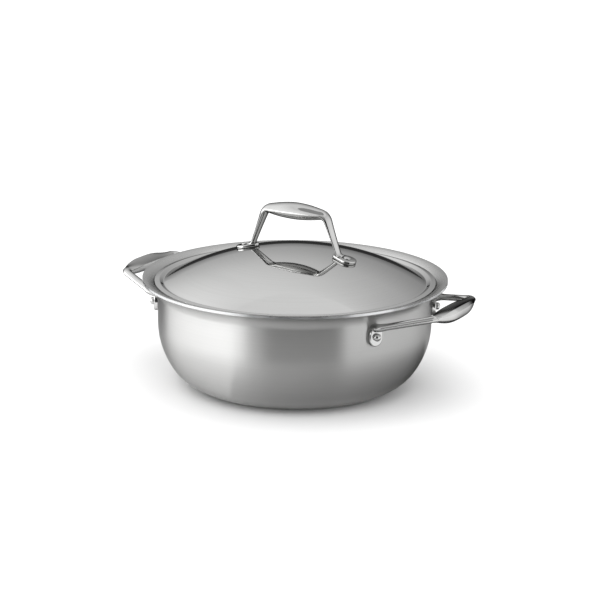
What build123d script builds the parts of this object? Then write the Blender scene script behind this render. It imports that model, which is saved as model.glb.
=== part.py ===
from build123d import *
from math import acos, asin, cos, degrees, radians, sin, sqrt
import os

# A wide braising pan of clad sheet with a domed lid and riveted cast handles.
# Millimetres. The pan's axis is Z, its base stands on z = 0, and the side handles lie along X.
os.makedirs("parts", exist_ok=True)

quarter_turn = 90
half_turn = 180
full_turn = 360

# The pan's sheet, from the outside in
outer_ply_thickness = 0.5
core_ply_thickness = 1.7
inner_ply_thickness = 0.5

# The pan's outline, given on its outer skin
rim_height = 109.0
wall_outer_radius = 137.3
side_bend_radius = 80.4
base_bend_radius = 42.9
side_bend_angle = 34.4
flare_top_radius = 17.7

# The side handles
pad_angle = 27.5
pad_width = 14.5
pad_height = 19.0
pad_thickness = 4.0
pad_drop = 28.7
arm_rise = 8.0
arm_half_width = 4.4
arm_half_height = 3.2
root_depth = 5.0
root_half_width = 6.2
root_half_height = 4.4
root_taper = 16.0
elbow_offset = 3.0
elbow_radius = 7.5
arm_reach = 36.6
arm_toe_in = 22.4
corner_radius = 10.0
corner_lift = 1.3
grip_bow = 2.5
grip_drop = 10.5
grip_half_width = 8.2
grip_edge_rise = 6.4
grip_inner_rise = 3.6
grip_hollow = 0.6
grip_depth = 8.3
grip_bulge = 2.0
grip_heel_share = 0.45
grip_swell_power = 1.5
bar_steps = 36

# Rivets: the same shank everywhere, a tall head outside the pan, low heads elsewhere
shank_radius = 2.5
shank_clearance = 0.05
tall_head_radius = 3.75
tall_head_height = 4.4
low_head_radius = 4.6
low_head_height = 1.6

# The lid
lid_thickness = 1.0
lid_rise = 33.4
lid_plug_clearance = 3.3
lid_gutter_width = 4.2
lid_edge_width = 4.7
lid_crest_rise = 0.9
lid_gutter_depth = 2.6
lid_bend_radius = 1.6
lid_seat_gap = 0.3

# The lid handle
foot_reach = 57.5
foot_radius = 9.4
foot_nose_radius = 6.2
foot_thickness = 3.2
foot_length = 9.2
toe_length = 4.5
knee_radius = 6.0
strap_lean = 14.3
shoulder_drop = 0.8
shoulder_radius = 9.0
strap_half_width = 5.4
strap_half_thickness = 2.3
strap_lift = 1.0
bow_rise = 38.2
bow_half_width = 13.0
bow_crown = 8.4
bow_belly = 8.4
bow_swell_power = 1.8
bow_steps = 40

# Pan sizes that follow from these
sheet_thickness = outer_ply_thickness + core_ply_thickness + inner_ply_thickness
wall_inner_radius = wall_outer_radius - sheet_thickness
rim_radius = wall_inner_radius + flare_top_radius
flare_centre_height = rim_height - flare_top_radius
flare_under_radius = flare_top_radius - sheet_thickness
side_centre_radius = wall_outer_radius - side_bend_radius
bend_step = side_bend_radius - base_bend_radius
base_flat_radius = side_centre_radius + bend_step * cos(radians(side_bend_angle))
wall_foot_height = base_bend_radius + bend_step * sin(radians(side_bend_angle))
pad_centre_height = rim_height - pad_drop
pad_face_radius = wall_outer_radius + pad_thickness
root_reach = wall_outer_radius - root_depth
elbow_reach = pad_face_radius + elbow_offset
elbow_half_span = elbow_reach * sin(radians(pad_angle))
corner_reach = wall_outer_radius + arm_reach
corner_half_span = elbow_half_span - arm_toe_in
grip_reach = corner_reach + grip_bow
root_height = pad_centre_height + arm_rise
grip_height = rim_height - grip_drop
flare_edge_height = flare_centre_height + flare_under_radius
hole_radius = shank_radius + shank_clearance
cut_overrun = 2 * sheet_thickness


def radial_plane(angle, reach, height):
    """A plane that faces away from the pan's axis, its local y upwards."""
    turn = radians(angle)
    return Plane(
        origin=(reach * cos(turn), reach * sin(turn), height),
        x_dir=(-sin(turn), cos(turn), 0),
        z_dir=(cos(turn), sin(turn), 0),
    )


def dome_arc(edge_radius, edge_height, rise, way):
    """The arc of a shallow dome from its edge to the axis, upwards with way 1, downwards with -1."""
    sphere_radius = (edge_radius**2 + rise**2) / (2 * rise)
    start_angle = degrees(acos(edge_radius / sphere_radius))
    CenterArc(
        (0, edge_height + way * (rise - sphere_radius)),
        sphere_radius,
        way * start_angle,
        way * (quarter_turn - start_angle),
    )


# The three plies of the pan's sheet, each turned from the same outline at its own depth
def make_ply(near_depth, far_depth):
    with BuildPart() as ply:
        with BuildSketch(Plane.XZ):
            with BuildLine():
                for depth in (near_depth, far_depth):
                    side_radius = wall_outer_radius - depth
                    Line((0, depth), (base_flat_radius, depth))
                    CenterArc(
                        (base_flat_radius, base_bend_radius),
                        base_bend_radius - depth,
                        -quarter_turn,
                        quarter_turn - side_bend_angle,
                    )
                    CenterArc(
                        (side_centre_radius, wall_foot_height),
                        side_bend_radius - depth,
                        -side_bend_angle,
                        side_bend_angle,
                    )
                    Line((side_radius, wall_foot_height), (side_radius, flare_centre_height))
                    CenterArc(
                        (rim_radius, flare_centre_height),
                        flare_under_radius + depth,
                        half_turn,
                        -quarter_turn,
                    )
                Line((0, near_depth), (0, far_depth))
                Line(
                    (rim_radius, flare_edge_height + near_depth),
                    (rim_radius, flare_edge_height + far_depth),
                )
            make_face()
        revolve(axis=Axis.Z)
        for angle in rivet_angles:
            with BuildSketch(radial_plane(angle, wall_outer_radius, pad_centre_height)):
                Circle(hole_radius)
            extrude(amount=cut_overrun, both=True, mode=Mode.SUBTRACT)
    return ply.part


rivet_angles = [
    pad_angle,
    -pad_angle,
    half_turn + pad_angle,
    half_turn - pad_angle,
]
core_depth = outer_ply_thickness
inner_depth = outer_ply_thickness + core_ply_thickness

pan_outer_ply = make_ply(0, core_depth)
pan_core_ply = make_ply(core_depth, inner_depth)
pan_inner_ply = make_ply(inner_depth, sheet_thickness)


# The room that the wall and the flare fill, which the side handles are cut back to
with BuildPart() as pan_form:
    with BuildSketch(Plane.XZ):
        with BuildLine():
            Polyline(
                (wall_outer_radius, flare_centre_height),
                (wall_outer_radius, 0),
                (0, 0),
                (0, flare_edge_height),
                (rim_radius, flare_edge_height),
            )
            CenterArc(
                (rim_radius, flare_centre_height),
                flare_under_radius,
                half_turn,
                -quarter_turn,
            )
        make_face()
    revolve(axis=Axis.Z)


# A side handle: one cast bar that leaves a pad, turns two corners and swells into a grip.
# A cross-section has a sharp outer edge, a hollow top, an inner edge and a full underside.
def bar_marks(fullness_share, half_width, half_height):
    """Six points of a cross-section, from the plain arm at 0 to the full grip at 1."""
    slant = sqrt(0.5)
    arm = [
        (half_width, 0),
        (0, half_height),
        (-half_width, 0),
        (-half_width * slant, -half_height * slant),
        (0, -half_height),
        (half_width * slant, -half_height * slant),
    ]
    grip = [
        (grip_half_width, grip_edge_rise),
        (0, (grip_edge_rise + grip_inner_rise) / 2 - grip_hollow),
        (-grip_half_width, grip_inner_rise),
        (-grip_half_width * grip_heel_share, -grip_depth / 2),
        (grip_half_width / 2, -grip_depth),
        (grip_half_width + grip_bulge, -grip_bulge),
    ]
    return [
        (
            a[0] + fullness_share * (g[0] - a[0]),
            a[1] + fullness_share * (g[1] - a[1]),
        )
        for a, g in zip(arm, grip)
    ]


# The bar's centre line in plan: out of the pan, along an arm, round the grip and back
root = Vector(root_reach, 0).rotate(Axis.Z, pad_angle)
elbow = Vector(elbow_reach, 0).rotate(Axis.Z, pad_angle)
corner = Vector(corner_reach, corner_half_span)
with BuildLine() as bar_line:
    Line(root, elbow)
    Line(elbow, corner)
    ThreePointArc(corner, (grip_reach, 0), (corner.X, -corner.Y))
    Line((corner.X, -corner.Y), (elbow.X, -elbow.Y))
    Line((elbow.X, -elbow.Y), (root.X, -root.Y))
    fillet(bar_line.vertices().sort_by(Axis.X)[2:4], elbow_radius)
    fillet(bar_line.vertices().sort_by(Axis.X)[-2:], corner_radius)
bar_wire = bar_line.wires()[0]
arm_run = (elbow - root).length + (corner - elbow).length
arm_climb = grip_height + corner_lift - root_height

with BuildPart() as right_side_handle:
    for step in range(bar_steps + 1):
        place = bar_wire @ (step / bar_steps)
        heading = bar_wire % (step / bar_steps)
        end_distance = min(step, bar_steps - step) / bar_steps * bar_wire.length
        root_share = max(0, 1 - end_distance / root_taper)
        climb_share = min(1, end_distance / arm_run)
        corner_share = min(1, abs(place.Y) / corner_half_span)
        fullness_share = (1 - corner_share**3) ** grip_swell_power
        edge, top, inner, heel, belly, outside = bar_marks(
            fullness_share,
            arm_half_width + root_share * (root_half_width - arm_half_width),
            arm_half_height + root_share * (root_half_height - arm_half_height),
        )
        height = root_height + climb_share * arm_climb - fullness_share * corner_lift
        bar_plane = Plane(
            origin=(place.X, place.Y, height),
            x_dir=(-heading.Y, heading.X, 0),
            z_dir=heading,
        )
        with BuildSketch(bar_plane):
            with BuildLine():
                ThreePointArc(edge, top, inner)
                ThreePointArc(inner, heel, belly)
                ThreePointArc(belly, outside, edge)
            make_face()
    loft()
    add(pan_form.part, mode=Mode.SUBTRACT)
    for angle in (pad_angle, -pad_angle):
        with BuildSketch(radial_plane(angle, pad_face_radius, pad_centre_height)):
            SlotOverall(pad_height, pad_width, rotation=quarter_turn)
        extrude(amount=-cut_overrun - pad_thickness)
    add(pan_form.part, mode=Mode.SUBTRACT)
    for angle in (pad_angle, -pad_angle):
        with BuildSketch(radial_plane(angle, wall_outer_radius, pad_centre_height)):
            Circle(hole_radius)
        extrude(amount=cut_overrun + pad_thickness, both=True, mode=Mode.SUBTRACT)

with BuildPart() as left_side_handle:
    add(right_side_handle.part, rotation=(0, 0, half_turn))


# A rivet: shank, and a domed head at each end
def make_rivet(seat, grip_length, head_radius, head_height):
    """The plane seat faces outwards, where the outer head sits; the shank runs in behind it."""
    head_wall = head_height / 2
    with BuildPart() as rivet:
        with BuildSketch(Plane(origin=seat.origin, x_dir=seat.x_dir, z_dir=-seat.y_dir)):
            with BuildLine():
                Line((0, -grip_length - low_head_height), (0, head_height))
                dome_arc(head_radius, head_wall, head_height - head_wall, 1)
                Polyline(
                    (head_radius, head_wall),
                    (head_radius, 0),
                    (shank_radius, 0),
                    (shank_radius, -grip_length),
                    (low_head_radius, -grip_length),
                )
                dome_arc(low_head_radius, -grip_length, low_head_height, -1)
            make_face()
        revolve(axis=Axis(seat.origin, seat.z_dir))
    return rivet.part


inner_seat_radius = sqrt(wall_inner_radius**2 - low_head_radius**2)
side_rivets = {
    "right_handle_rear_rivet": rivet_angles[0],
    "right_handle_front_rivet": rivet_angles[1],
    "left_handle_front_rivet": rivet_angles[2],
    "left_handle_rear_rivet": rivet_angles[3],
}
made_rivets = {}
for name, angle in side_rivets.items():
    made_rivets[name] = make_rivet(
        radial_plane(angle, pad_face_radius, pad_centre_height),
        pad_face_radius - inner_seat_radius,
        tall_head_radius,
        tall_head_height,
    )

# The lid's sheet: a dome whose foot dips inside the pan, a gutter, a crest and a resting edge
lid_foot_radius = wall_inner_radius - lid_plug_clearance
lid_crest_radius = lid_foot_radius + lid_gutter_width
lid_edge_radius = lid_crest_radius + lid_edge_width
seat_height = flare_centre_height + sqrt(flare_top_radius**2 - (rim_radius - lid_edge_radius) ** 2)
lid_edge_height = seat_height + lid_seat_gap + lid_thickness / 2
lid_crest_height = lid_edge_height + lid_crest_rise
lid_foot_height = lid_crest_height - lid_gutter_depth
lid_apex_height = lid_foot_height + lid_rise
lid_sphere_radius = (lid_foot_radius**2 + lid_rise**2) / (2 * lid_rise)
lid_sphere_height = lid_apex_height - lid_sphere_radius
lid_half_angle = asin(lid_foot_radius / lid_sphere_radius) / 2
foot_angle = degrees(asin(foot_reach / lid_sphere_radius))
nose_reach = foot_reach - foot_length
shoulder_reach = nose_reach - strap_lean


def lid_plane(side, depth):
    """A plane on the dome under one foot, facing away from the sphere's centre."""
    turn = radians(foot_angle)
    reach = lid_sphere_radius + depth
    return Plane(
        origin=(side * reach * sin(turn), 0, lid_sphere_height + reach * cos(turn)),
        x_dir=(side * cos(turn), 0, -sin(turn)),
        z_dir=(side * sin(turn), 0, cos(turn)),
    )


with BuildPart() as lid_shell:
    with BuildSketch(Plane.XZ):
        with BuildLine() as lid_line:
            ThreePointArc(
                (0, lid_apex_height),
                (
                    lid_sphere_radius * sin(lid_half_angle),
                    lid_sphere_height + lid_sphere_radius * cos(lid_half_angle),
                ),
                (lid_foot_radius, lid_foot_height),
            )
            Polyline(
                (lid_foot_radius, lid_foot_height),
                (lid_crest_radius, lid_crest_height),
                (lid_edge_radius, lid_edge_height),
            )
            bends = lid_line.vertices().sort_by(Axis.X)[1:3]
            fillet(bends, lid_bend_radius)
        trace(line_width=lid_thickness)
    revolve(axis=Axis.Z)
    for side in (1, -1):
        with BuildSketch(lid_plane(side, 0)):
            Circle(hole_radius)
        extrude(amount=cut_overrun, both=True, mode=Mode.SUBTRACT)


# The lid handle: two feet, two straps that lean in, and a thick grip across the top
def bow_marks(fullness_share):
    """Side, top and underside of a cross-section, from the plain strap at 0 to the grip at 1."""
    half_width = strap_half_width + fullness_share * (bow_half_width - strap_half_width)
    top = strap_half_thickness + fullness_share * (bow_crown - strap_half_thickness)
    under = strap_half_thickness + fullness_share * (bow_belly - strap_half_thickness)
    return half_width, top, under


# The bow's centre line, drawn flat with its height along y: a foot, a strap, the grip and back
foot = lid_plane(1, (lid_thickness + foot_thickness) / 2 + strap_lift)
toe = foot.from_local_coords((toe_length - foot_length, 0, 0))
knee = foot.from_local_coords((-foot_length, 0, 0))
bow_height = lid_apex_height + lid_thickness / 2 + bow_rise
with BuildLine() as bow_line:
    Line((toe.X, toe.Z), (knee.X, knee.Z))
    Line((knee.X, knee.Z), (shoulder_reach, bow_height - shoulder_drop))
    ThreePointArc(
        (shoulder_reach, bow_height - shoulder_drop),
        (0, bow_height),
        (-shoulder_reach, bow_height - shoulder_drop),
    )
    Line((-shoulder_reach, bow_height - shoulder_drop), (-knee.X, knee.Z))
    Line((-knee.X, knee.Z), (-toe.X, toe.Z))
    fillet(bow_line.vertices().group_by(Axis.Y)[1], knee_radius)
    fillet(bow_line.vertices().group_by(Axis.Y)[-1], shoulder_radius)
bow_wire = bow_line.wires()[0]

with BuildPart() as lid_handle:
    for step in range(bow_steps + 1):
        place = bow_wire @ (step / bow_steps)
        heading = bow_wire % (step / bow_steps)
        leg_share = min(1, abs(place.X) / nose_reach)
        half_width, crown, belly = bow_marks((1 - leg_share**2) ** bow_swell_power)
        bow_plane = Plane(
            origin=(place.X, 0, place.Y),
            x_dir=(0, -1, 0),
            z_dir=(heading.X, 0, heading.Y),
        )
        with BuildSketch(bow_plane):
            with BuildLine():
                ThreePointArc((-half_width, 0), (0, crown), (half_width, 0))
                ThreePointArc((half_width, 0), (0, -belly), (-half_width, 0))
            make_face()
    loft()
    for side in (1, -1):
        with BuildSketch(lid_plane(side, lid_thickness / 2)):
            with BuildLine():
                CenterArc((0, 0), foot_radius, 0, full_turn)
            with BuildLine():
                CenterArc((-foot_length, 0), foot_nose_radius, 0, full_turn)
            make_hull()
        extrude(amount=foot_thickness)
    with Locations((0, 0, lid_sphere_height)):
        Sphere(lid_sphere_radius + lid_thickness / 2, mode=Mode.SUBTRACT)
    for side in (1, -1):
        with BuildSketch(lid_plane(side, lid_thickness / 2)):
            Circle(hole_radius)
        extrude(amount=foot_thickness + cut_overrun, both=True, mode=Mode.SUBTRACT)

lid_head_seat = sqrt((lid_sphere_radius - lid_thickness / 2) ** 2 - low_head_radius**2)
lid_rivet_grip = lid_thickness / 2 + foot_thickness + lid_sphere_radius - lid_head_seat
for name, side in {"lid_handle_right_rivet": 1, "lid_handle_left_rivet": -1}.items():
    made_rivets[name] = make_rivet(
        lid_plane(side, lid_thickness / 2 + foot_thickness),
        lid_rivet_grip,
        tall_head_radius,
        low_head_height,
    )

pieces = {
    "pan_outer_ply": pan_outer_ply,
    "pan_core_ply": pan_core_ply,
    "pan_inner_ply": pan_inner_ply,
    "right_side_handle": right_side_handle.part,
    "left_side_handle": left_side_handle.part,
    "lid_shell": lid_shell.part,
    "lid_handle": lid_handle.part,
    **made_rivets,
}
for name, piece in pieces.items():
    piece.label = name
    export_step(piece, f"parts/{name}.step")
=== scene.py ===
import math

import bmesh
import bpy
from mathutils import Matrix, Vector


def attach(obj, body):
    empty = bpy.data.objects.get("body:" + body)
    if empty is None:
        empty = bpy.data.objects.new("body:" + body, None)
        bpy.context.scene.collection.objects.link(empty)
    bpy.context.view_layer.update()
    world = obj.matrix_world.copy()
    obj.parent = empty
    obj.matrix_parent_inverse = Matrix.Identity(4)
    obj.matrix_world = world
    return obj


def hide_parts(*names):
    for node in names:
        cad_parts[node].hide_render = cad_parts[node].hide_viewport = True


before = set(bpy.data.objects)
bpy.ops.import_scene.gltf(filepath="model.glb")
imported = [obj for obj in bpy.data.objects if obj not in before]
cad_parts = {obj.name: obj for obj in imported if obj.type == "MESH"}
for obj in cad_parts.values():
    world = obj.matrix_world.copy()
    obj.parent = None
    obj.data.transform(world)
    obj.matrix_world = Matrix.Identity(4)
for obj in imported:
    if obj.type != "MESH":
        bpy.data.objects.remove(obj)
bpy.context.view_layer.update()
print("frame loaded:", len(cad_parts), "nodes")

mm = 0.001
fullTurn = 2 * math.pi
weldDistance = 2e-6  # m

# Pan body, outside outline (mm): straight wall, two bends to a flat base, a flared rim
pan = {
    "height": 109.0,
    "wallRadius": 137.3,
    "sideBend": 80.4,
    "baseBend": 42.9,
    "sideAngle": math.radians(34.4),
    "flareTop": 17.7,
    "plies": {"outer": (0.0, 0.5), "inner": (2.2, 2.7)},
    "baseShares": (0, 0.02, 0.35, 0.7, 0.94),
    "wallShares": (0.25, 0.5, 0.75),
    "baseSteps": 28,
    "sideSteps": 18,
    "flareSteps": 24,
    "segments": 240,
}
sheet = pan["plies"]["inner"][1]
rimRadius = pan["wallRadius"] - sheet + pan["flareTop"]
flareHeight = pan["height"] - pan["flareTop"]


# Small modelling helpers
def clearSelection():
    if bpy.context.object and bpy.context.object.mode != "OBJECT":
        bpy.ops.object.mode_set(mode="OBJECT")
    bpy.ops.object.select_all(action="DESELECT")


def pick(piece):
    clearSelection()
    piece.select_set(True)
    bpy.context.view_layer.objects.active = piece


def startAtPoint(name, place):
    # a plane merged to one vertex, moved to the outline's first point
    clearSelection()
    bpy.ops.mesh.primitive_plane_add(size=0.002)
    piece = bpy.context.object
    piece.name = name
    bpy.ops.object.mode_set(mode="EDIT")
    bpy.ops.mesh.select_all(action="SELECT")
    bpy.ops.mesh.merge(type="CENTER")
    bpy.ops.transform.translate(value=place)
    return piece


def turnOutline(name, outline, segments):
    # outline: (radius, height) pairs in mm, extruded point by point and spun round Z
    points = [Vector((radius * mm, 0, height * mm)) for radius, height in outline]
    piece = startAtPoint(name, points[0])
    for before, after in zip(points, points[1:]):
        bpy.ops.mesh.extrude_region_move(TRANSFORM_OT_translate={"value": after - before})
    bpy.ops.mesh.select_all(action="SELECT")
    bpy.ops.mesh.spin(steps=segments, angle=fullTurn, center=(0, 0, 0), axis=(0, 0, 1))
    bpy.ops.mesh.select_all(action="SELECT")
    bpy.ops.mesh.remove_doubles(threshold=weldDistance)
    bpy.ops.mesh.select_all(action="SELECT")
    bpy.ops.mesh.normals_make_consistent(inside=False)
    bpy.ops.object.mode_set(mode="OBJECT")
    return piece


def endOnAxis(outline):
    return [(0, outline[0][1]), *outline[1:-1], (0, outline[-1][1])]


def smoothShade(piece, degrees=40):
    pick(piece)
    bpy.ops.object.shade_smooth_by_angle(angle=math.radians(degrees))


def arcPoints(centre, radius, start, sweep, steps):
    return [
        (
            centre[0] + radius * math.cos(start + sweep * step / steps),
            centre[1] + radius * math.sin(start + sweep * step / steps),
        )
        for step in range(steps + 1)
    ]


def roundedPath(corners, radii, stepAngle=math.radians(3)):
    # a line through corners, each inner one rounded with its own radius
    path = [Vector(corners[0])]
    for before, corner, after, radius in zip(corners, corners[1:], corners[2:], radii):
        here = Vector(corner)
        back = (Vector(before) - here).normalized()
        ahead = (Vector(after) - here).normalized()
        opening = back.angle(ahead)
        reach = radius / math.tan(opening / 2)
        middle = (back + ahead).normalized()
        centre = here + middle * radius / math.sin(opening / 2)
        first = here + back * reach - centre
        last = here + ahead * reach - centre
        sweep = first.angle_signed(last)
        steps = max(3, round(abs(sweep) / stepAngle))
        for step in range(steps + 1):
            turn = -sweep * step / steps
            path.append(centre + Matrix.Rotation(turn, 2) @ first)
    path.append(Vector(corners[-1]))
    return path


def walkPath(path, count):
    # even steps along the path: (place, heading, distance from the nearer end)
    glance = 0.4  # mm looked ahead and behind for the heading
    marks = [0.0]
    for before, after in zip(path, path[1:]):
        marks.append(marks[-1] + (after - before).length)
    total = marks[-1]

    def at(distance):
        distance = min(max(distance, 0), total)
        for index in range(len(path) - 1):
            if distance <= marks[index + 1] or index == len(path) - 2:
                share = (distance - marks[index]) / (marks[index + 1] - marks[index])
                return path[index].lerp(path[index + 1], share)

    stations = []
    for step in range(count + 1):
        distance = total * step / count
        heading = (at(distance + glance) - at(distance - glance)).normalized()
        stations.append((at(distance), heading, min(distance, total - distance)))
    return stations


def arcThrough(first, middle, last, steps):
    # points on the circle through three points, without the last one
    a, b, c = Vector(first), Vector(middle), Vector(last)
    span = 2 * (a.x * (b.y - c.y) + b.x * (c.y - a.y) + c.x * (a.y - b.y))
    if abs(span) < 1e-6:
        return [a.lerp(c, step / steps) for step in range(steps)]
    squares = a.length_squared, b.length_squared, c.length_squared
    centre = Vector((
        (squares[0] * (b.y - c.y) + squares[1] * (c.y - a.y) + squares[2] * (a.y - b.y)) / span,
        (squares[0] * (c.x - b.x) + squares[1] * (a.x - c.x) + squares[2] * (b.x - a.x)) / span,
    ))
    halfway = (a - centre).angle_signed(b - centre)
    rest = (b - centre).angle_signed(c - centre)
    if halfway * rest < 0:
        rest += math.copysign(fullTurn, halfway)
    sweep = halfway + rest
    return [centre + Matrix.Rotation(-sweep * step / steps, 2) @ (a - centre) for step in range(steps)]


def pointKey(place):
    # rounded, so that a vertex compares equal with the place it was given
    return tuple(round(x, 7) for x in place)


def extrudeRings(name, rings):
    # one closed cross-section carried along a row of stations, closed at both ends
    clearSelection()
    bpy.ops.mesh.primitive_circle_add(vertices=len(rings[0]), radius=0.01)
    piece = bpy.context.object
    piece.name = name
    bpy.ops.object.mode_set(mode="EDIT")
    mesh = bmesh.from_edit_mesh(piece.data)
    for vertex, place in zip(mesh.verts, rings[0]):
        vertex.co = place
    bpy.ops.mesh.select_all(action="SELECT")
    bpy.ops.mesh.edge_face_add()
    bpy.ops.mesh.select_all(action="DESELECT")
    mesh = bmesh.from_edit_mesh(piece.data)
    for edge in mesh.edges:
        edge.select_set(True)
    bmesh.update_edit_mesh(piece.data)
    bpy.ops.mesh.select_mode(type="EDGE")
    for before, after in zip(rings, rings[1:]):
        bpy.ops.mesh.extrude_edges_move(TRANSFORM_OT_translate={"value": (0, 0, 0)})
        mesh = bmesh.from_edit_mesh(piece.data)
        target = {pointKey(here): there for here, there in zip(before, after)}
        for vertex in [v for v in mesh.verts if v.select]:
            vertex.co = target[pointKey(vertex.co)]
        bmesh.update_edit_mesh(piece.data)
    bpy.ops.mesh.edge_face_add()
    bpy.ops.mesh.select_mode(type="VERT")
    bpy.ops.mesh.select_all(action="SELECT")
    bpy.ops.mesh.normals_make_consistent(inside=False)
    bpy.ops.object.mode_set(mode="OBJECT")
    return piece


def softenEdges(piece, width, segments, sharpness):
    # a small bevel along every edge sharper than the given angle
    pick(piece)
    bevel = piece.modifiers.new("soften", "BEVEL")
    bevel.width = width * mm
    bevel.segments = segments
    bevel.limit_method = "ANGLE"
    bevel.angle_limit = math.radians(sharpness)
    bpy.ops.object.modifier_apply(modifier=bevel.name)


def joinPieces(name, pieces):
    clearSelection()
    for piece in pieces:
        piece.select_set(True)
    bpy.context.view_layer.objects.active = pieces[0]
    bpy.ops.object.join()
    joined = bpy.context.object
    joined.name = name
    return joined


def settle(piece, place):
    # move a piece that was modelled at the origin, then write its place into its mesh
    pick(piece)
    piece.matrix_world = place
    bpy.ops.object.transform_apply(location=True, rotation=True, scale=True)


def copyPiece(piece, name):
    pick(piece)
    bpy.ops.object.duplicate(linked=False)
    twin = bpy.context.object
    twin.name = name
    twin.data.name = name
    return twin


def facing(place, outward, upward):
    # a placing whose local z is outward and local y is upward
    outward, upward = Vector(outward).normalized(), Vector(upward).normalized()
    side = upward.cross(outward)
    return Matrix.Translation(Vector(place) * mm) @ Matrix((side, upward, outward)).transposed().to_4x4()


# Effects that several finishes share
def newGroup(name, inputs, outputs):
    group = bpy.data.node_groups.new(name, "ShaderNodeTree")
    for label, value in inputs.items():
        socket = group.interface.new_socket(label, in_out="INPUT", socket_type="NodeSocketFloat")
        socket.default_value = value
    for label, kind in outputs.items():
        group.interface.new_socket(label, in_out="OUTPUT", socket_type=kind)
    return group, group.nodes.new("NodeGroupInput"), group.nodes.new("NodeGroupOutput")


def feed(group, value, socket):
    # a number is set on the socket, another node's output is linked to it
    if isinstance(value, (int, float)):
        socket.default_value = value
    else:
        group.links.new(value, socket)


def mathNode(group, operation, *values):
    node = group.nodes.new("ShaderNodeMath")
    node.operation = operation
    for value, socket in zip(values, node.inputs):
        feed(group, value, socket)
    return node.outputs[0]


def mapNode(group, value, source, target):
    # a value carried from one range to another, whose ends are numbers or other nodes' outputs
    node = group.nodes.new("ShaderNodeMapRange")
    for label, end in zip(("Value", "From Min", "From Max", "To Min", "To Max"), (value, *source, *target)):
        feed(group, end, node.inputs[label])
    return node.outputs["Result"]


def makeTurnedMarks():
    # fine rings left by polishing on a lathe: they follow the distance from the axis and the height
    group, inside, outside = newGroup(
        "turnedMarks",
        {"Rings per mm": 2.5, "Strength": 0.5},
        {"Height": "NodeSocketFloat", "Rough mask": "NodeSocketFloat"},
    )
    coords = group.nodes.new("ShaderNodeTexCoord")
    parts = group.nodes.new("ShaderNodeSeparateXYZ")
    group.links.new(coords.outputs["Object"], parts.inputs[0])
    x, y, z = parts.outputs
    squares = mathNode(group, "ADD", mathNode(group, "MULTIPLY", x, x), mathNode(group, "MULTIPLY", y, y))
    radius = mathNode(group, "SQRT", squares)
    turn = mathNode(group, "ARCTAN2", y, x)
    scale = mathNode(group, "MULTIPLY", inside.outputs["Rings per mm"], 1 / mm)
    marks = group.nodes.new("ShaderNodeCombineXYZ")
    group.links.new(mathNode(group, "MULTIPLY", radius, scale), marks.inputs[0])
    group.links.new(mathNode(group, "MULTIPLY", z, scale), marks.inputs[1])
    group.links.new(mathNode(group, "MULTIPLY", mathNode(group, "SINE", turn), 1.5), marks.inputs[2])
    rings = group.nodes.new("ShaderNodeTexNoise")
    rings.inputs["Scale"].default_value = 1
    rings.inputs["Detail"].default_value = 2
    group.links.new(marks.outputs[0], rings.inputs["Vector"])
    height = mathNode(group, "MULTIPLY", rings.outputs["Fac"], inside.outputs["Strength"])
    group.links.new(height, outside.inputs["Height"])
    group.links.new(rings.outputs["Fac"], outside.inputs["Rough mask"])
    return group


def makeWipeMarks():
    # broad faint patches where a cloth or a hand has passed
    group, inside, outside = newGroup(
        "wipeMarks",
        {"Patch size": 30.0, "Low": 0.05, "High": 0.12},
        {"Roughness": "NodeSocketFloat"},
    )
    coords = group.nodes.new("ShaderNodeTexCoord")
    cloth = group.nodes.new("ShaderNodeTexNoise")
    cloth.inputs["Detail"].default_value = 3
    cloth.inputs["Distortion"].default_value = 0.6
    group.links.new(coords.outputs["Object"], cloth.inputs["Vector"])
    group.links.new(inside.outputs["Patch size"], cloth.inputs["Scale"])
    rough = mapNode(group, cloth.outputs["Fac"], (0.35, 0.65), (inside.outputs["Low"], inside.outputs["High"]))
    group.links.new(rough, outside.inputs["Roughness"])
    return group


def makeCastSkin():
    # the slow waviness of a hand-polished casting
    group, inside, outside = newGroup(
        "castSkin",
        {"Wave size": 60.0, "Strength": 0.5},
        {"Height": "NodeSocketFloat"},
    )
    coords = group.nodes.new("ShaderNodeTexCoord")
    waves = group.nodes.new("ShaderNodeTexNoise")
    waves.inputs["Detail"].default_value = 1
    group.links.new(coords.outputs["Object"], waves.inputs["Vector"])
    group.links.new(inside.outputs["Wave size"], waves.inputs["Scale"])
    height = mathNode(group, "MULTIPLY", waves.outputs["Fac"], inside.outputs["Strength"])
    group.links.new(height, outside.inputs["Height"])
    return group


turnedMarks = makeTurnedMarks()
wipeMarks = makeWipeMarks()
castSkin = makeCastSkin()


def addGroup(tree, group, **values):
    node = tree.nodes.new("ShaderNodeGroup")
    node.node_tree = group
    for label, value in values.items():
        node.inputs[label.replace("_", " ")].default_value = value
    return node


def toneRamp(tree, factor, dark, light):
    ramp = tree.nodes.new("ShaderNodeValToRGB")
    ramp.color_ramp.elements[0].position = 0.3
    ramp.color_ramp.elements[0].color = (*dark, 1)
    ramp.color_ramp.elements[1].position = 0.7
    ramp.color_ramp.elements[1].color = (*light, 1)
    tree.links.new(factor, ramp.inputs["Fac"])
    return ramp.outputs["Color"]


def startSteel(name, settings):
    # bare metal with wiped patches; the grazing tone sets how bright its edges mirror
    steel = bpy.data.materials.new(name)
    steel.use_nodes = True
    tree = steel.node_tree
    shader = tree.nodes["Principled BSDF"]
    shader.inputs["Metallic"].default_value = 1.0
    shader.inputs["Specular Tint"].default_value = (*[settings["grazing"]] * 3, 1)
    low, high = settings["roughness"]
    wiped = addGroup(tree, wipeMarks, Patch_size=settings["patchSize"], Low=low, High=high)
    tree.links.new(wiped.outputs["Roughness"], shader.inputs["Roughness"])
    return steel, tree, shader


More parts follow.
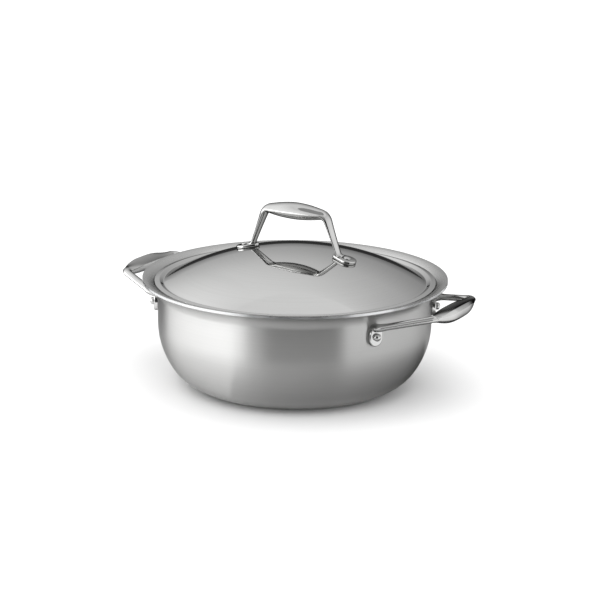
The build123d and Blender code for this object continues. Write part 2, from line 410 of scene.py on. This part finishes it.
def addMarks(tree, shader, mask, height, settings):
    # the tone follows a mask, and the bump follows the same marks
    tree.links.new(toneRamp(tree, mask, *settings["tone"]), shader.inputs["Base Color"])
    bump = tree.nodes.new("ShaderNodeBump")
    bump.inputs["Strength"].default_value = settings["bumpStrength"]
    bump.inputs["Distance"].default_value = settings["bumpDepth"] * mm
    tree.links.new(height, bump.inputs["Height"])
    tree.links.new(bump.outputs["Normal"], shader.inputs["Normal"])


def sheetSteel(name, settings):
    # polished sheet: ring marks from the lathe and a drawn-out highlight
    steel, tree, shader = startSteel(name, settings)
    rings = addGroup(tree, turnedMarks, Rings_per_mm=settings["ringsPerMm"], Strength=1.0)
    addMarks(tree, shader, rings.outputs["Rough mask"], rings.outputs["Height"], settings)
    shader.inputs["Anisotropic"].default_value = settings["stretch"]
    shader.inputs["Anisotropic Rotation"].default_value = settings["turn"]
    tangent = tree.nodes.new("ShaderNodeTangent")
    tangent.direction_type = "RADIAL"
    tangent.axis = "Z"
    tree.links.new(tangent.outputs["Tangent"], shader.inputs["Tangent"])
    return steel


def castSteel(name, settings):
    # polished casting with a wavy skin
    steel, tree, shader = startSteel(name, settings)
    skin = addGroup(tree, castSkin, Wave_size=settings["waveSize"], Strength=1.0)
    addMarks(tree, shader, skin.outputs["Height"], skin.outputs["Height"], settings)
    return steel


bodyFinish = {
    "grazing": 0.4,
    "tone": ((0.49, 0.49, 0.485), (0.505, 0.505, 0.5)),
    "roughness": (0.31, 0.34),
    "patchSize": 9.0,
    "ringsPerMm": 1.2,
    "bumpStrength": 0.1,
    "bumpDepth": 0.01,
    "stretch": 0.95,
    "turn": 0.25,
}
insideFinish = {
    "grazing": 0.5,
    "tone": ((0.56, 0.56, 0.555), (0.6, 0.6, 0.595)),
    "roughness": (0.22, 0.3),
    "patchSize": 12.0,
    "ringsPerMm": 1.0,
    "bumpStrength": 0.3,
    "bumpDepth": 0.02,
    "stretch": 0.6,
    "turn": 0.25,
}
lidFinish = {
    "grazing": 0.6,
    "tone": ((0.58, 0.58, 0.575), (0.6, 0.6, 0.595)),
    "roughness": (0.045, 0.065),
    "patchSize": 10.0,
    "ringsPerMm": 1.2,
    "bumpStrength": 0.02,
    "bumpDepth": 0.01,
    "stretch": 0.3,
    "turn": 0.25,
}
handleFinish = {
    "grazing": 0.12,
    "tone": ((0.55, 0.55, 0.545), (0.6, 0.6, 0.595)),
    "roughness": (0.05, 0.1),
    "patchSize": 40.0,
    "waveSize": 55.0,
    "bumpStrength": 0.25,
    "bumpDepth": 0.25,
}
rivetFinish = {
    "grazing": 0.7,
    "tone": ((0.52, 0.52, 0.515), (0.58, 0.58, 0.575)),
    "roughness": (0.12, 0.2),
    "patchSize": 150.0,
    "waveSize": 300.0,
    "bumpStrength": 0.3,
    "bumpDepth": 0.12,
}
coreFinish = {
    "grazing": 1.0,
    "tone": ((0.6, 0.61, 0.62), (0.72, 0.73, 0.74)),
    "roughness": (0.3, 0.4),
    "patchSize": 60.0,
    "ringsPerMm": 3.0,
    "bumpStrength": 0.4,
    "bumpDepth": 0.02,
    "stretch": 0.3,
    "turn": 0.25,
}
bodySteel = sheetSteel("bodySteel", bodyFinish)
insideSteel = sheetSteel("insideSteel", insideFinish)
lidSteel = sheetSteel("lidSteel", lidFinish)
coreAluminium = sheetSteel("coreAluminium", coreFinish)
handleSteel = castSteel("handleSteel", handleFinish)
rivetSteel = castSteel("rivetSteel", rivetFinish)
print("materials ready")


def dress(piece, material):
    piece.data.materials.clear()
    piece.data.materials.append(material)


def finishPiece(piece, material, body, node):
    dress(piece, material)
    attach(piece, body)
    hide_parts(node)


# The pan's sheet
def skinOutline(depth):
    # from the axis out along the base, up the side and out to the rim, at a depth from the outer skin
    angle = pan["sideAngle"]
    sideCentre = pan["wallRadius"] - pan["sideBend"]
    step = pan["sideBend"] - pan["baseBend"]
    flat = sideCentre + step * math.cos(angle)
    footHeight = pan["baseBend"] + step * math.sin(angle)
    side = pan["wallRadius"] - depth
    outline = [(flat * share, depth) for share in pan["baseShares"]]
    bend = pan["baseBend"]
    outline += arcPoints((flat, bend), bend - depth, -math.pi / 2, math.pi / 2 - angle, pan["baseSteps"])
    outline += arcPoints((sideCentre, footHeight), pan["sideBend"] - depth, -angle, angle, pan["sideSteps"])[1:]
    outline += [(side, footHeight + (flareHeight - footHeight) * share) for share in pan["wallShares"]]
    under = pan["flareTop"] - sheet + depth
    outline += arcPoints((rimRadius, flareHeight), under, math.pi, -math.pi / 2, pan["flareSteps"])
    return outline


def makePly(name, near, far):
    outline = skinOutline(near) + list(reversed(skinOutline(far)))
    ply = turnOutline(name, outline, pan["segments"])
    smoothShade(ply)
    return ply


outerPly = makePly("panOuterSheet", *pan["plies"]["outer"])
finishPiece(outerPly, bodySteel, "pan", "pan_outer_ply")
innerPly = makePly("panInnerSheet", *pan["plies"]["inner"])
finishPiece(innerPly, insideSteel, "pan", "pan_inner_ply")
dress(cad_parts["pan_core_ply"], coreAluminium)
print("pan sheet made")

# The side handles
sideHandle = {
    "rootReach": 136.0,
    "rootAngle": math.radians(27.5),
    "elbowReach": 144.3,
    "elbowRadius": 7.5,
    "corner": (173.9, 44.2),
    "cornerRadius": 10.0,
    "gripReach": 177.3,
    "gripRound": 560.0,
    "rootHeight": 88.3,
    "cornerHeight": 99.8,
    "cornerLift": 1.3,
    "swell": (3, 1.5),
    "armHalf": (4.4, 3.2),
    "rootHalf": (6.2, 4.4),
    "rootTaper": 16.0,
    "stations": 110,
    "sectionSteps": (10, 8, 8),
    "edgeSoftness": 0.45,
    "pad": {"width": 14.5, "height": 19.0, "face": 141.3, "back": 136.6, "centre": 80.3},
    "padSoftness": 1.1,
    "padSegments": 64,
}
# grip cross-section (mm): outer edge, hollow top, inner edge, heel, belly, outer face
gripSection = [(8.2, 6.4), (0, 4.4), (-8.2, 3.6), (-3.7, -4.15), (4.1, -8.3), (10.2, -2.0)]


def barSection(fullness, halfWidth, halfHeight):
    slant = math.sqrt(0.5)
    arm = [
        (halfWidth, 0),
        (0, halfHeight),
        (-halfWidth, 0),
        (-halfWidth * slant, -halfHeight * slant),
        (0, -halfHeight),
        (halfWidth * slant, -halfHeight * slant),
    ]
    edge, top, inner, heel, belly, outside = [
        (a[0] + fullness * (g[0] - a[0]), a[1] + fullness * (g[1] - a[1])) for a, g in zip(arm, gripSection)
    ]
    sides = (edge, top, inner), (inner, heel, belly), (belly, outside, edge)
    return [
        point for side, steps in zip(sides, sideHandle["sectionSteps"]) for point in arcThrough(*side, steps)
    ]


def makeBar(name):
    reach, angle = sideHandle["rootReach"], sideHandle["rootAngle"]
    elbow = sideHandle["elbowReach"]
    cornerX, cornerY = sideHandle["corner"]
    half = [
        (reach * math.cos(angle), reach * math.sin(angle)),
        (elbow * math.cos(angle), elbow * math.sin(angle)),
        (cornerX, cornerY),
    ]
    corners = half + [(sideHandle["gripReach"], 0)] + [(x, -y) for x, y in reversed(half)]
    radii = [sideHandle["elbowRadius"], sideHandle["cornerRadius"], sideHandle["gripRound"]]
    path = roundedPath(corners, radii + [radii[1], radii[0]])
    run = (Vector(half[1]) - Vector(half[0])).length + (Vector(half[2]) - Vector(half[1])).length
    climb = sideHandle["cornerHeight"] - sideHandle["rootHeight"]
    flatness, taper = sideHandle["swell"]
    rings = []
    for place, heading, endDistance in walkPath(path, sideHandle["stations"]):
        rootShare = max(0, 1 - endDistance / sideHandle["rootTaper"])
        climbShare = min(1, endDistance / run)
        cornerShare = min(1, abs(place.y) / cornerY)
        fullness = (1 - cornerShare**flatness) ** taper
        halfWidth, halfHeight = [
            arm + rootShare * (root - arm) for arm, root in zip(sideHandle["armHalf"], sideHandle["rootHalf"])
        ]
        height = sideHandle["rootHeight"] + climbShare * climb - fullness * sideHandle["cornerLift"]
        side = Vector((-heading.y, heading.x, 0))
        rings.append([
            (Vector((place.x, place.y, height)) + side * mark[0] + Vector((0, 0, mark[1]))) * mm
            for mark in barSection(fullness, halfWidth, halfHeight)
        ])
    bar = extrudeRings(name, rings)
    softenEdges(bar, sideHandle["edgeSoftness"], segments=3, sharpness=38)
    return bar


def makePad(name, angle):
    pad = sideHandle["pad"]
    clearSelection()
    vertices = sideHandle["padSegments"]
    bpy.ops.mesh.primitive_circle_add(vertices=vertices, radius=pad["width"] / 2 * mm, fill_type="NGON")
    piece = bpy.context.object
    piece.name = name
    bpy.ops.object.mode_set(mode="EDIT")
    stretch = (pad["height"] - pad["width"]) / 2 * mm
    for way in (1, -1):
        bpy.ops.mesh.select_all(action="DESELECT")
        mesh = bmesh.from_edit_mesh(piece.data)
        for vertex in mesh.verts:
            vertex.select_set(vertex.co.y * way > 1e-6)
        bmesh.update_edit_mesh(piece.data)
        bpy.ops.transform.translate(value=(0, stretch * way, 0))
    bpy.ops.mesh.select_all(action="SELECT")
    bpy.ops.mesh.extrude_region_move(TRANSFORM_OT_translate={"value": (0, 0, (pad["face"] - pad["back"]) * mm)})
    bpy.ops.mesh.select_all(action="SELECT")
    bpy.ops.mesh.normals_make_consistent(inside=False)
    bpy.ops.object.mode_set(mode="OBJECT")
    softenEdges(piece, sideHandle["padSoftness"], segments=5, sharpness=50)
    outward = (math.cos(angle), math.sin(angle), 0)
    back = (pad["back"] * outward[0], pad["back"] * outward[1], pad["centre"])
    settle(piece, facing(back, outward, (0, 0, 1)))
    return piece


def makeSideHandle(name):
    parts = [makeBar(name)]
    parts += [makePad(name + "Pad", sideHandle["rootAngle"] * way) for way in (1, -1)]
    handle = joinPieces(name, parts)
    smoothShade(handle, degrees=35)
    return handle


rightHandle = makeSideHandle("rightSideHandle")
leftHandle = copyPiece(rightHandle, "leftSideHandle")
settle(leftHandle, Matrix.Rotation(math.pi, 4, "Z"))
finishPiece(rightHandle, handleSteel, "pan", "right_side_handle")
finishPiece(leftHandle, handleSteel, "pan", "left_side_handle")
print("side handles made")

# The lid's sheet
lid = {
    "footRadius": 131.3,
    "crestInset": 16.8,
    "edgeInset": 12.1,
    "rise": 33.4,
    "crestRise": 0.9,
    "gutterDepth": 2.6,
    "seatGap": 0.3,
    "thickness": 1.0,
    "bend": 1.6,
    "bendStep": math.radians(7),
    "hemReach": 0.6,
    "hemSteps": 8,
    "apexShare": 0.004,
    "domeSteps": 48,
    "segments": 240,
}
seatHeight = flareHeight + math.sqrt(pan["flareTop"] ** 2 - lid["edgeInset"] ** 2)
lidEdgeHeight = seatHeight + lid["seatGap"] + lid["thickness"] / 2
lidFootHeight = lidEdgeHeight + lid["crestRise"] - lid["gutterDepth"]
sphereRadius = (lid["footRadius"] ** 2 + lid["rise"] ** 2) / (2 * lid["rise"])
sphereHeight = lidFootHeight + lid["rise"] - sphereRadius


def lidOutline():
    # the sheet's middle line from the apex to the resting edge, then both skins of it
    edgeAngle = math.asin(lid["footRadius"] / sphereRadius)
    shares = [0, lid["apexShare"]] + [step / lid["domeSteps"] for step in range(1, lid["domeSteps"])]
    dome = [
        Vector((sphereRadius * math.sin(turn), sphereHeight + sphereRadius * math.cos(turn)))
        for turn in [edgeAngle * share for share in shares]
    ]
    outer = roundedPath(
        [
            dome[-1],
            (lid["footRadius"], lidFootHeight),
            (rimRadius - lid["crestInset"], lidEdgeHeight + lid["crestRise"]),
            (rimRadius - lid["edgeInset"], lidEdgeHeight),
        ],
        [lid["bend"], lid["bend"]],
        lid["bendStep"],
    )
    middle = dome + outer[1:]
    skins = []
    for way in (1, -1):
        skin = []
        for index, here in enumerate(middle):
            before, after = middle[max(index - 1, 0)], middle[min(index + 1, len(middle) - 1)]
            along = (after - before).normalized() if index else Vector((1, 0))
            skin.append(here + Vector((-along.y, along.x)) * way * lid["thickness"] / 2)
        skins.append(skin)
    half = lid["thickness"] / 2
    ending = (middle[-1] - middle[-2]).normalized()
    across = Vector((-ending.y, ending.x))
    hem = [
        middle[-1] + (ending * (math.cos(turn) - 1) * lid["hemReach"] + across * math.sin(turn)) * half
        for turn in [math.pi / 2 - math.pi * step / lid["hemSteps"] for step in range(1, lid["hemSteps"])]
    ]
    return [tuple(point) for point in skins[0] + hem + list(reversed(skins[1]))]


lidShell = turnOutline("lidSheet", endOnAxis(lidOutline()), lid["segments"])
smoothShade(lidShell)
finishPiece(lidShell, lidSteel, "lid", "lid_shell")
print("lid sheet made")

# The lid handle
lidHandle = {
    "footReach": 57.5,
    "footRadius": 9.4,
    "noseRadius": 6.2,
    "noseReach": 48.3,
    "footThickness": 3.2,
    "toeLength": 4.5,
    "strapLift": 1.0,
    "kneeRadius": 6.0,
    "shoulder": (34.0, 0.8),
    "shoulderRadius": 9.0,
    "rise": 38.2,
    "strapHalf": (5.4, 2.3),
    "gripHalf": (13.0, 8.4),
    "gripRound": 400.0,
    "swell": (2, 1.8),
    "stations": 96,
    "sectionSteps": 12,
    "footSegments": 72,
    "edgeSoftness": 0.7,
    "footSoftness": 0.9,
}
footAngle = math.asin(lidHandle["footReach"] / sphereRadius)


def onLid(side, depth, along=0.0):
    # a point at a depth outside the lid's middle skin under one foot, moved along the foot
    outward = Vector((side * math.sin(footAngle), 0, math.cos(footAngle)))
    downhill = Vector((side * math.cos(footAngle), 0, -math.sin(footAngle)))
    return Vector((0, 0, sphereHeight)) + outward * (sphereRadius + depth) + downhill * along, outward


def makeBow(name):
    lift = (lid["thickness"] + lidHandle["footThickness"]) / 2 + lidHandle["strapLift"]
    toe = onLid(1, lift, lidHandle["toeLength"] - lidHandle["footReach"] + lidHandle["noseReach"])[0]
    knee = onLid(1, lift, lidHandle["noseReach"] - lidHandle["footReach"])[0]
    top = sphereHeight + sphereRadius + lid["thickness"] / 2 + lidHandle["rise"]
    shoulderX, drop = lidHandle["shoulder"]
    half = [(toe.x, toe.z), (knee.x, knee.z), (shoulderX, top - drop)]
    radii = [lidHandle["kneeRadius"], lidHandle["shoulderRadius"]]
    corners = half + [(0, top)] + [(-x, z) for x, z in reversed(half)]
    path = roundedPath(corners, radii + [lidHandle["gripRound"]] + radii[::-1])
    flatness, taper = lidHandle["swell"]
    rings = []
    for place, heading, _ in walkPath(path, lidHandle["stations"]):
        fullness = (1 - min(1, abs(place.x) / lidHandle["noseReach"]) ** flatness) ** taper
        halfWidth, halfHeight = [
            strap + fullness * (grip - strap) for strap, grip in zip(lidHandle["strapHalf"], lidHandle["gripHalf"])
        ]
        away = Vector((heading.y, 0, -heading.x))
        section = arcThrough((-halfWidth, 0), (0, halfHeight), (halfWidth, 0), lidHandle["sectionSteps"])
        section += arcThrough((halfWidth, 0), (0, -halfHeight), (-halfWidth, 0), lidHandle["sectionSteps"])
        rings.append([
            (Vector((place.x, 0, place.y)) + Vector((0, 1, 0)) * mark[0] + away * mark[1]) * mm for mark in section
        ])
    bow = extrudeRings(name, rings)
    softenEdges(bow, lidHandle["edgeSoftness"], segments=4, sharpness=38)
    return bow


def makeFoot(name, side):
    # a round disc whose inner end is drawn out and narrowed towards the strap
    clearSelection()
    vertices = lidHandle["footSegments"]
    bpy.ops.mesh.primitive_circle_add(vertices=vertices, radius=lidHandle["footRadius"] * mm, fill_type="NGON")
    piece = bpy.context.object
    piece.name = name
    bpy.ops.object.mode_set(mode="EDIT")
    reach = lidHandle["footReach"] - lidHandle["noseReach"]
    lean = math.asin((lidHandle["footRadius"] - lidHandle["noseRadius"]) / reach)
    mesh = bmesh.from_edit_mesh(piece.data)
    for vertex in mesh.verts:
        turn = math.atan2(vertex.co.y, -vertex.co.x)
        if abs(turn) < math.pi / 2 - lean:
            vertex.co.x = (-reach - lidHandle["noseRadius"] * math.cos(turn)) * mm
            vertex.co.y = lidHandle["noseRadius"] * math.sin(turn) * mm
    bmesh.update_edit_mesh(piece.data)
    bpy.ops.mesh.select_all(action="SELECT")
    bpy.ops.mesh.extrude_region_move(TRANSFORM_OT_translate={"value": (0, 0, lidHandle["footThickness"] * mm)})
    bpy.ops.mesh.select_all(action="SELECT")
    bpy.ops.mesh.normals_make_consistent(inside=False)
    bpy.ops.object.mode_set(mode="OBJECT")
    softenEdges(piece, lidHandle["footSoftness"], segments=4, sharpness=50)
    place, outward = onLid(side, lid["thickness"] / 2)
    settle(piece, facing(place, outward, (0, side, 0)))
    return piece


handleParts = [makeBow("lidBow")] + [makeFoot("lidFoot", side) for side in (1, -1)]
lidGrip = joinPieces("lidBowHandle", handleParts)
smoothShade(lidGrip, degrees=35)
finishPiece(lidGrip, handleSteel, "lid", "lid_handle")
print("lid handle made")

# The rivets
rivet = {
    "shank": 2.5,
    "tallHead": (3.75, 4.4),
    "flatHead": (3.75, 1.6),
    "innerHead": (4.6, 1.6),
    "edgeSoftness": 0.35,
    "domeSteps": 10,
    "segments": 48,
}


def domeOutline(radius, foot, rise, way):
    # from the edge at foot to the axis
    sphere = (radius**2 + rise**2) / (2 * rise)
    start = math.acos(radius / sphere)
    centre = (0, foot + way * (rise - sphere))
    return arcPoints(centre, sphere, way * start, way * (math.pi / 2 - start), rivet["domeSteps"])


def makeRivet(name, grip, head):
    radius, height = head
    wall = height / 2
    innerRadius, innerHeight = rivet["innerHead"]
    outline = list(reversed(domeOutline(radius, wall, height - wall, 1)))
    outline += [(radius, wall / 2), (radius, 0), (rivet["shank"], 0), (rivet["shank"], -grip)]
    outline += domeOutline(innerRadius, -grip, innerHeight, -1)
    piece = turnOutline(name, endOnAxis(outline), rivet["segments"])
    softenEdges(piece, rivet["edgeSoftness"], segments=3, sharpness=50)
    smoothShade(piece)
    return piece


def placeRivet(master, node, seat, outward, upward, body):
    words = node.split("_")
    piece = copyPiece(master, words[0] + "".join(word.capitalize() for word in words[1:]))
    settle(piece, facing(seat, outward, upward))
    finishPiece(piece, rivetSteel, body, node)


wallInner = pan["wallRadius"] - sheet
sideGrip = sideHandle["pad"]["face"] - math.sqrt(wallInner**2 - rivet["innerHead"][0] ** 2)
sideRivet = makeRivet("sideRivet", sideGrip, rivet["tallHead"])
rivetPlaces = {
    "right_handle_rear_rivet": sideHandle["rootAngle"],
    "right_handle_front_rivet": -sideHandle["rootAngle"],
    "left_handle_front_rivet": math.pi + sideHandle["rootAngle"],
    "left_handle_rear_rivet": math.pi - sideHandle["rootAngle"],
}
for node, angle in rivetPlaces.items():
    outward = Vector((math.cos(angle), math.sin(angle), 0))
    seat = outward * sideHandle["pad"]["face"] + Vector((0, 0, sideHandle["pad"]["centre"]))
    placeRivet(sideRivet, node, seat, outward, (0, 0, 1), "pan")
bpy.data.objects.remove(sideRivet)

lidSeat = math.sqrt((sphereRadius - lid["thickness"] / 2) ** 2 - rivet["innerHead"][0] ** 2)
lidGripLength = lid["thickness"] / 2 + lidHandle["footThickness"] + sphereRadius - lidSeat
lidRivet = makeRivet("lidRivet", lidGripLength, rivet["flatHead"])
for node, side in {"lid_handle_right_rivet": 1, "lid_handle_left_rivet": -1}.items():
    seat, outward = onLid(side, lid["thickness"] / 2 + lidHandle["footThickness"])
    placeRivet(lidRivet, node, seat, outward, (0, 1, 0), "lid")
bpy.data.objects.remove(lidRivet)
print("rivets made")

# Floor, light and camera
studio = {
    "floor": {"Base Color": (0.93, 0.93, 0.93, 1), "Roughness": 0.9, "Specular IOR Level": 0.0},
    "floorSize": 40,
    "ambient": 0.98,
    "background": 1.0,
    # glowing cards that light nothing and cast no shadow: painted highlights and painted shade in the metal's
    # reflections
    "cards": {
        # azimuths of the two sides (degrees), reach and height of the foot and of the top (m),
        # tones at the two ends of the foot and of the top
        # dark card: painted shade in the metal's reflections, blocking no light
        "frontFlag": (9, 65, (2.4, 0.0), (2.4, 0.8), (0.03, 0.03, 0.03, 0.03)),
        "frontHigh": (9, 65, (2.4, 0.8), (2.4, 5.0), (0.14, 0.18, 0.95, 1.0)),
        "frontSlope": (-21, 9, (2.4, 0.0), (2.4, 1.0), (4.6, 0.03, 3.6, 0.1)),
        "frontSlopeHigh": (-21, 9, (2.4, 1.0), (2.4, 5.0), (1.5, 0.5, 0.9, 0.95)),
        # bright card: a painted highlight in the metal, lighting nothing
        "leftPaintedHighlight": (-96, -21, (2.4, 0.0), (2.4, 1.0), (4.6, 5.4, 4.0, 4.6)),
        "leftHigh": (-96, -21, (2.4, 1.0), (2.4, 5.0), (1.5, 1.5, 0.95, 0.9)),
        "leftBack": (-131, -96, (2.4, 0.28), (2.4, 4.2), (0.97, 1.9, 1.06, 0.98)),
        "backLow": (170, 262, (2.4, 0.0), (2.4, 0.28), (0.03, 0.03, 0.06, 0.1)),
        "backFoot": (170, 229, (2.4, 0.28), (2.4, 0.64), (0.16, 0.5, 0.36, 0.95)),
        "backMiddle": (170, 229, (2.4, 0.64), (2.4, 1.7), (0.36, 0.95, 0.6, 1.03)),
        "backHigh": (170, 229, (2.4, 1.7), (2.4, 4.2), (0.6, 1.03, 0.92, 1.06)),
        "rightFront": (65, 95, (2.4, 0.0), (2.4, 3.0), (1.0, 1.2, 0.8, 0.8)),
        "rightSide": (95, 140, (2.4, 0.0), (2.4, 3.0), (1.2, 1.2, 0.8, 0.8)),
        "rightBack": (140, 170, (2.4, 0.0), (2.4, 0.2), (1.4, 0.45, 1.1, 0.12)),
        "rightBackMiddle": (140, 170, (2.4, 0.2), (2.4, 1.2), (1.1, 0.1, 0.8, 0.4)),
        "rightBackHigh": (140, 170, (2.4, 1.2), (2.4, 3.0), (0.8, 0.4, 0.8, 0.7)),
        # dark sheets just over the floor that only the metal sees: painted shade in its reflection of the white
        # floor, and near the pan a painted floor shadow
        "tablePaintedShadeFront": (-5, 65, (0.34, 0.002), (2.4, 0.02), (0.05, 0.05, 0.05, 0.05)),
        "tablePaintedShadowNear": (-5, 140, (0.12, 0.002), (0.24, 0.003), (0.5, 0.02, 1.0, 0.06)),
        "tablePaintedShadeBack": (162, 268, (0.4, 0.002), (2.4, 0.02), (0.05, 0.05, 0.05, 0.05)),
    },
    "cardSteps": 48,
    # each place holds an azimuth (degrees), a distance and a height (m)
    "ceiling": {"place": (29, 0.75, 5.0), "radius": 2.2, "tone": 0.4},
    "sky": {"place": (15, 0.6, 2.2), "target": (0, 0, 0.08), "spread": math.radians(60), "strength": 1.2},
}
clearSelection()
bpy.ops.mesh.primitive_plane_add(size=studio["floorSize"])
floor = bpy.context.object
floor.name = "floor"
floorPaint = bpy.data.materials.new("floorPaint")
floorPaint.use_nodes = True
for label, value in studio["floor"].items():
    floorPaint.node_tree.nodes["Principled BSDF"].inputs[label].default_value = value
floor.data.materials.append(floorPaint)


def standAt(azimuth, distance, height):
    turn = math.radians(azimuth)
    return Vector((distance * math.sin(turn), -distance * math.cos(turn), height))


def glowPaint(name):
    # a paint that only glows: the material, its nodes and the socket for its tone
    paint = bpy.data.materials.new(name)
    paint.use_nodes = True
    tree = paint.node_tree
    tree.nodes.remove(tree.nodes["Principled BSDF"])
    glow = tree.nodes.new("ShaderNodeEmission")
    tree.links.new(glow.outputs[0], tree.nodes["Material Output"].inputs["Surface"])
    return paint, tree, glow.inputs["Strength"]


def hideFromAllButMetal(card):
    card.visible_camera = False
    card.visible_diffuse = False
    card.visible_shadow = False


def makeCard(name, start, end, foot, top, tones):
    # a curved glowing card round the set that only the metal sees, its tone running across and up it: it lights
    # nothing and casts no shadow, so its tone is a painted highlight or painted shade in the metal's reflections
    card = startAtPoint(name, standAt(start, *foot))
    rise = standAt(start, *top) - standAt(start, *foot)
    bpy.ops.mesh.extrude_region_move(TRANSFORM_OT_translate={"value": rise})
    bpy.ops.mesh.select_all(action="SELECT")
    turn = math.radians(start - end)
    bpy.ops.mesh.spin(steps=studio["cardSteps"], angle=turn, center=(0, 0, 0), axis=(0, 0, 1))
    bpy.ops.object.mode_set(mode="OBJECT")
    paint, tree, strength = glowPaint(name)
    coords = tree.nodes.new("ShaderNodeTexCoord")
    parts = tree.nodes.new("ShaderNodeSeparateXYZ")
    tree.links.new(coords.outputs["Object"], parts.inputs[0])
    x, y, height = parts.outputs
    # the angle is measured from the card's own middle, so it never wraps
    middle = math.radians((start + end) / 2)
    across, along = math.sin(middle), math.cos(middle)
    ahead = mathNode(tree, "SUBTRACT", mathNode(tree, "MULTIPLY", x, across), mathNode(tree, "MULTIPLY", y, along))
    aside = mathNode(tree, "ADD", mathNode(tree, "MULTIPLY", x, along), mathNode(tree, "MULTIPLY", y, across))
    angle = mathNode(tree, "ARCTAN2", aside, ahead)
    half = math.radians(end - start) / 2
    alongFoot = mapNode(tree, angle, (-half, half), tones[:2])
    alongTop = mapNode(tree, angle, (-half, half), tones[2:])
    tree.links.new(mapNode(tree, height, (foot[1], top[1]), (alongFoot, alongTop)), strength)
    card.data.materials.append(paint)
    hideFromAllButMetal(card)


for name, card in studio["cards"].items():
    makeCard(name, *card)

# a dim glowing ceiling disc over the camera's side, which also only the metal sees: painted shade in its
# reflection of the white sky
clearSelection()
overhead = studio["ceiling"]
bpy.ops.mesh.primitive_circle_add(vertices=studio["cardSteps"], radius=overhead["radius"], fill_type="NGON")
ceiling = bpy.context.object
ceiling.name = "ceilingPaintedShade"
settle(ceiling, Matrix.Translation(standAt(*overhead["place"])))
ceilingPaint, _, ceilingStrength = glowPaint("ceilingPaintedShade")
ceilingStrength.default_value = overhead["tone"]
ceiling.data.materials.append(ceilingPaint)
hideFromAllButMetal(ceiling)

# a wide soft sun for the floor's shadow, which the metal doesn't mirror
sky = studio["sky"]
lamp = bpy.data.lights.new("softSky", "SUN")
lamp.angle = sky["spread"]
lamp.energy = sky["strength"]
light = bpy.data.objects.new("softSky", lamp)
bpy.context.scene.collection.objects.link(light)
light.location = standAt(*sky["place"])
light.rotation_euler = (Vector(sky["target"]) - light.location).to_track_quat("-Z", "Y").to_euler()
light.visible_glossy = False

# the camera, metal and glass see a white background, the rest is lit by a plain ambient
world = bpy.data.worlds.new("studio")
bpy.context.scene.world = world
world.use_nodes = True
tree = world.node_tree
backdrop = tree.nodes["Background"]
backdrop.inputs["Strength"].default_value = studio["background"]
backdrop.inputs["Color"].default_value = (1, 1, 1, 1)
ambient = tree.nodes.new("ShaderNodeBackground")
ambient.inputs["Color"].default_value = (1, 1, 1, 1)
ambient.inputs["Strength"].default_value = studio["ambient"]
rays = tree.nodes.new("ShaderNodeLightPath")
shiny = mathNode(tree, "MAXIMUM", rays.outputs["Is Glossy Ray"], rays.outputs["Is Transmission Ray"])
seen = mathNode(tree, "MAXIMUM", rays.outputs["Is Camera Ray"], shiny)
choose = tree.nodes.new("ShaderNodeMixShader")
tree.links.new(seen, choose.inputs["Fac"])
tree.links.new(ambient.outputs[0], choose.inputs[1])
tree.links.new(backdrop.outputs[0], choose.inputs[2])
tree.links.new(choose.outputs[0], tree.nodes["World Output"].inputs["Surface"])

view = {
    "azimuth": 29.2,
    "elevation": math.radians(15.914),
    "distance": 2.0,
    "targetHeight": 0.06,
    "pan": math.radians(-0.145),
    "tilt": math.radians(0.657),
    "roll": math.radians(-0.62),
    "lens": 119.29,
}
camera = bpy.data.objects.new("camera", bpy.data.cameras.new("camera"))
bpy.context.scene.collection.objects.link(camera)
camera.data.sensor_width = 36
camera.data.lens = view["lens"]
camera.data.clip_end = 50
reach, climb = view["distance"] * math.cos(view["elevation"]), view["distance"] * math.sin(view["elevation"])
stand = standAt(view["azimuth"], reach, climb + view["targetHeight"])
looking = Matrix.Rotation(math.radians(view["azimuth"]), 4, "Z")
looking = looking @ Matrix.Rotation(math.pi / 2 - view["elevation"], 4, "X")
looking = looking @ Matrix.Rotation(view["pan"], 4, "Y") @ Matrix.Rotation(view["tilt"], 4, "X")
looking = looking @ Matrix.Rotation(-view["roll"], 4, "Z")
camera.matrix_world = Matrix.Translation(stand) @ looking
bpy.context.scene.camera = camera
bpy.context.scene.view_settings.view_transform = "Standard"
print("studio ready")
